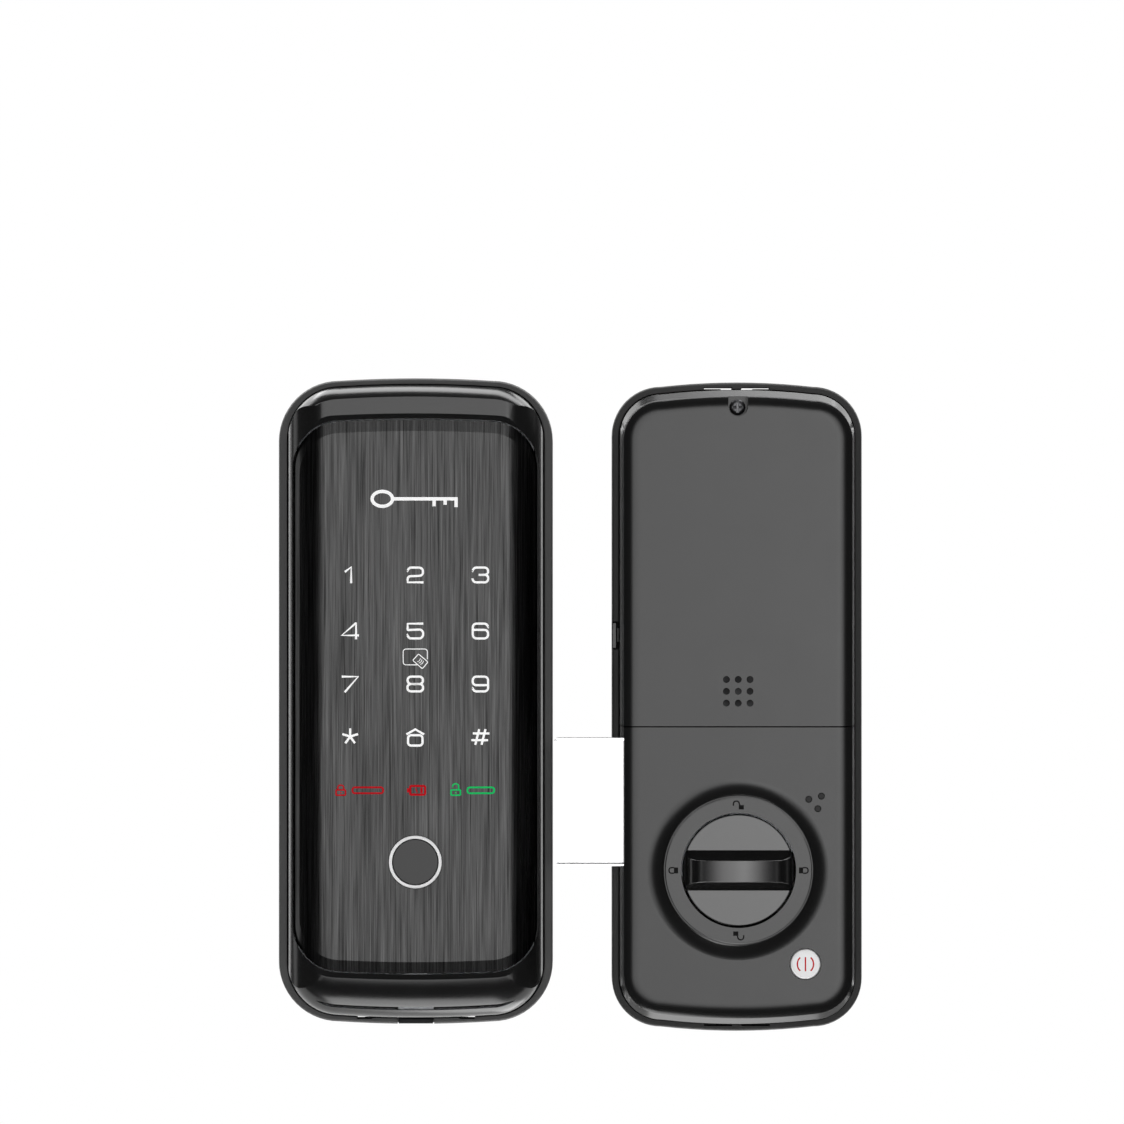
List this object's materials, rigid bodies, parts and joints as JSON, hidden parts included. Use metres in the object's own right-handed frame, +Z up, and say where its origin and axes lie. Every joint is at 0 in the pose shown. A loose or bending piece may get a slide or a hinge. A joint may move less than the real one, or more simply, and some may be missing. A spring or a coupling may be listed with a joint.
{
  "type": "keypad smart lock",
  "caption": "Rim-mounted electronic door lock: touch keypad unit with fingerprint reader, and inner unit with battery cover, thumbturn and sliding deadbolt.",
  "frame": {"origin": "middle of the keypad unit's back, on the face of its gasket that meets the outer side of the door", "axes": "+Y into the door, away from the user; +Z up; +X from the keypad unit towards the deadbolt unit beside it"},
  "size_m": [0.1492, 0.046, 0.1669],
  "materials": {
    "satin_black": "satin black paint with a fine texture",
    "frame_black": "matt black moulded plastic",
    "brushed_panel": "clear gloss over a dark film brushed up and down",
    "knob_grey": "satin dark grey",
    "bolt_steel": "bright satin plating",
    "steel": "zinc plated",
    "black_steel": "black oxide",
    "rubber": "matt black",
    "board": "green solder mask",
    "copper": "etched copper track",
    "spring": "plated spring metal",
    "inner_plastic": "dark grey moulded plastic",
    "white_plastic": "white, slightly glossy",
    "acetal": "natural acetal",
    "cell": "plain printed wrap",
    "lens": "smoked"
  },
  "bodies": {
    "lock_body": {"keypad_gasket": "rubber", "keypad_base_frame": "frame_black", "keypad_back_plate": "steel", "front_housing": "satin_black", "touch_glass": "brushed_panel", "touch_board": "board", "card_antenna": "copper", "fingerprint_ring": "white_plastic", "fingerprint_sensor": "lens", "light_guide": "white_plastic", "keypad_board": "board", "keypad_cable_socket": "white_plastic", "upper_bolt_post": "steel", "lower_bolt_post": "steel", "housing_screw_1": "steel", "housing_screw_2": "steel", "housing_screw_3": "steel", "housing_screw_4": "steel", "emergency_port": "steel", "mounting_plate": "steel", "inner_base_frame": "frame_black", "lower_cover": "satin_black", "base_screw_1": "steel", "base_screw_2": "steel", "battery_tray": "inner_plastic", "battery_1": "cell", "battery_2": "cell", "battery_3": "cell", "battery_4": "cell", "left_contact_lower": "spring", "left_contact_upper": "spring", "right_contact_lower": "spring", "right_contact_middle": "spring", "right_contact_upper": "spring", "control_board": "board", "control_cable_socket": "white_plastic", "speaker": "inner_plastic", "light_board": "board", "status_light_1": "lens", "status_light_2": "lens", "status_light_3": "lens", "dial_ring": "satin_black", "idler_pin": "steel", "motor": "steel", "motor_bracket": "inner_plastic", "bolt_guide": "steel", "button_board": "board", "button_switch": "inner_plastic"},
    "thumbturn": {"thumbturn_knob": "knob_grey", "spindle": "steel", "drive_gear": "acetal"},
    "bolt": {"deadbolt": "bolt_steel"},
    "idler": {"idler_gear": "acetal"},
    "motor_rotor": {"motor_pinion": "spring"},
    "cover": {"battery_cover": "satin_black", "cover_screw": "black_steel"},
    "button": {"open_close_button": "white_plastic"},
    "release": {"release_key": "satin_black"},
    "flap": {"port_flap": "rubber"}
  },
  "joints": [
    {"name": "thumbturn_turn", "type": "hinge", "parent": "lock_body", "child": "thumbturn", "pos_m": [0.0821, -0.03, -0.0425], "axis": [0, 1, 0], "range_deg": [0, 90]},
    {"name": "bolt_slide", "type": "slide", "parent": "lock_body", "child": "bolt", "axis": [1, 0, 0], "range_m": [0, 0.017]},
    {"name": "idler_turn", "type": "hinge", "parent": "lock_body", "child": "idler", "pos_m": [0.0941, -0.008, -0.0585], "axis": [0, 1, 0], "range_deg": [-360, 0]},
    {"name": "motor_turn", "type": "hinge", "parent": "lock_body", "child": "motor_rotor", "pos_m": [0.08079, -0.006, -0.06738], "axis": [0, 1, 0], "range_deg": [0, 1080]},
    {"name": "cover_lift", "type": "slide", "parent": "lock_body", "child": "cover", "axis": [0, -1, 0], "range_m": [0, 0.04]},
    {"name": "button_press", "type": "slide", "parent": "lock_body", "child": "button", "axis": [0, 1, 0], "range_m": [0, 0.001], "stiffness_N_per_m": 800, "springref_m": -0.001},
    {"name": "release_press", "type": "slide", "parent": "lock_body", "child": "release", "axis": [1, 0, 0], "range_m": [0, 0.0006], "stiffness_N_per_m": 800, "springref_m": -0.001},
    {"name": "flap_swing", "type": "hinge", "parent": "lock_body", "child": "flap", "pos_m": [0, -0.0052, -0.0818], "axis": [1, 0, 0], "range_deg": [0, 90]}
  ],
  "couplings": [
    {"joint": "thumbturn_turn", "follows": "bolt_slide", "rad_per_m": 92.39},
    {"joint": "idler_turn", "follows": "bolt_slide", "rad_per_m": -369.56},
    {"joint": "motor_turn", "follows": "bolt_slide", "rad_per_m": 1108.7}
  ]
}
